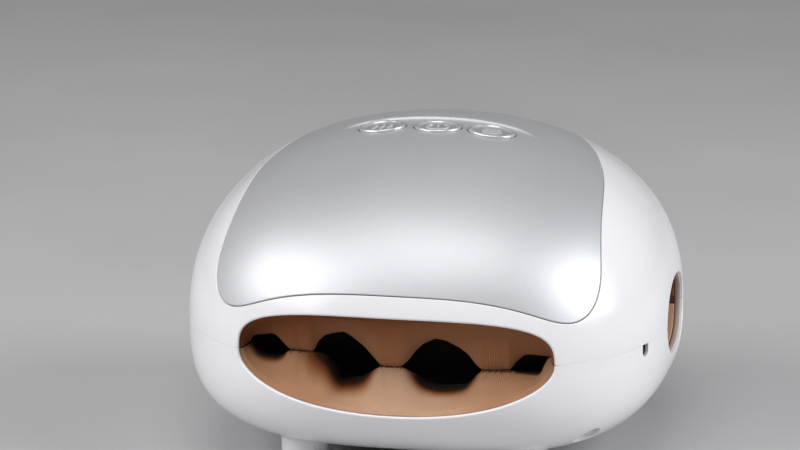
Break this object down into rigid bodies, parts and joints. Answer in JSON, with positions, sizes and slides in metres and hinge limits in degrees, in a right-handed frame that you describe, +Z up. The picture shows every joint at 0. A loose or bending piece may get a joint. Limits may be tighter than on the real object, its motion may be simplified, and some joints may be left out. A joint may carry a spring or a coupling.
{
  "type": "hand massager",
  "caption": "Domed air-compression hand massager with a finger slot, wrist and thumb openings, padded cloth lining, top keys, pump, valves and battery inside.",
  "frame": {"origin": "on the surface it stands on, under the middle of the whole object", "axes": "+Z up, -Y towards the finger slot at the front, +X towards the side with the charging port"},
  "size_m": [0.1888, 0.1788, 0.1262],
  "materials": {
    "shell_white": "polished white moulding with a cool cast",
    "panel_silver": "satin silver paint on plastic",
    "key_silver": "satin silver paint on plastic",
    "lining_twill": "tan twill, fine diagonal ribs",
    "ring_plastic": "fine satin",
    "frame_plastic": "fine matt",
    "airbag_film": "smooth coated film",
    "heating_film": "laminated film",
    "circuit_board": "solder mask",
    "black_plastic": "moulded",
    "plated_steel": "zinc plated",
    "copper_winding": "enamelled copper",
    "brass_contact": "plain",
    "black_rubber": "matt",
    "air_tube": "smooth silicone",
    "battery_wrap": "shrink wrap"
  },
  "bodies": {
    "case": {"upper_shell": "shell_white", "lower_shell": "shell_white", "top_panel": "panel_silver", "control_board": "circuit_board", "heat_switch": "black_plastic", "power_switch": "black_plastic", "mode_switch": "black_plastic", "buzzer": "black_plastic", "upper_frame": "frame_plastic", "lower_frame": "frame_plastic", "upper_palm_airbag": "airbag_film", "upper_finger_airbag": "airbag_film", "lower_palm_airbag": "airbag_film", "lower_finger_airbag": "airbag_film", "heating_film": "heating_film", "temperature_sensor": "brass_contact", "upper_lining": "lining_twill", "lower_lining": "lining_twill", "right_thumb_sleeve": "lining_twill", "left_thumb_sleeve": "lining_twill", "right_thumb_ring": "ring_plastic", "left_thumb_ring": "ring_plastic", "finger_slot_ring": "ring_plastic", "wrist_ring": "ring_plastic", "motor_can": "plated_steel", "pump_head": "black_plastic", "pump_diaphragm": "black_rubber", "pump_cradle": "black_rubber", "finger_valve_yoke": "plated_steel", "finger_valve_coil": "copper_winding", "finger_valve_spring": "plated_steel", "finger_valve_cap": "black_plastic", "palm_valve_yoke": "plated_steel", "palm_valve_coil": "copper_winding", "palm_valve_spring": "plated_steel", "palm_valve_cap": "black_plastic", "air_manifold": "black_plastic", "pump_air_tube": "air_tube", "finger_air_tube": "air_tube", "palm_air_tube": "air_tube", "battery_pack": "battery_wrap", "battery_strap": "frame_plastic", "charge_socket": "black_plastic", "charge_board": "circuit_board", "front_right_foot": "black_rubber", "front_left_foot": "black_rubber", "rear_right_foot": "black_rubber", "rear_left_foot": "black_rubber", "front_right_screw": "plated_steel", "front_left_screw": "plated_steel", "rear_right_screw": "plated_steel", "rear_left_screw": "plated_steel"},
    "heat_key": {"heat_button": "key_silver"},
    "power_key": {"power_button": "key_silver"},
    "mode_key": {"mode_button": "key_silver"},
    "rotor": {"motor_rotor": "copper_winding"},
    "finger_plunger": {"finger_valve_plunger": "plated_steel"},
    "palm_plunger": {"palm_valve_plunger": "plated_steel"}
  },
  "joints": [
    {"name": "heat_button_press", "type": "slide", "parent": "case", "child": "heat_key", "axis": [0.1032, 0.0387, -0.9939], "range_m": [0, 0.0006], "stiffness_N_per_m": 300, "springref_m": -0.001},
    {"name": "power_button_press", "type": "slide", "parent": "case", "child": "power_key", "axis": [-0.0009, 0.0287, -0.9996], "range_m": [0, 0.0006], "stiffness_N_per_m": 300, "springref_m": -0.001},
    {"name": "mode_button_press", "type": "slide", "parent": "case", "child": "mode_key", "axis": [-0.1032, 0.0387, -0.9939], "range_m": [0, 0.0006], "stiffness_N_per_m": 300, "springref_m": -0.001},
    {"name": "motor_rotor_spin", "type": "hinge", "parent": "case", "child": "rotor", "pos_m": [-0.02, 0.03587, 0.1013], "axis": [1, 0, 0], "continuous": true},
    {"name": "finger_valve_plunger_slide", "type": "slide", "parent": "case", "child": "finger_plunger", "axis": [0, 0, -1], "range_m": [0, 0.0015], "stiffness_N_per_m": 150, "springref_m": -0.002, "deforming": ["finger_valve_spring"]},
    {"name": "palm_valve_plunger_slide", "type": "slide", "parent": "case", "child": "palm_plunger", "axis": [0, 0, -1], "range_m": [0, 0.0015], "stiffness_N_per_m": 150, "springref_m": -0.002, "deforming": ["palm_valve_spring"]}
  ]
}
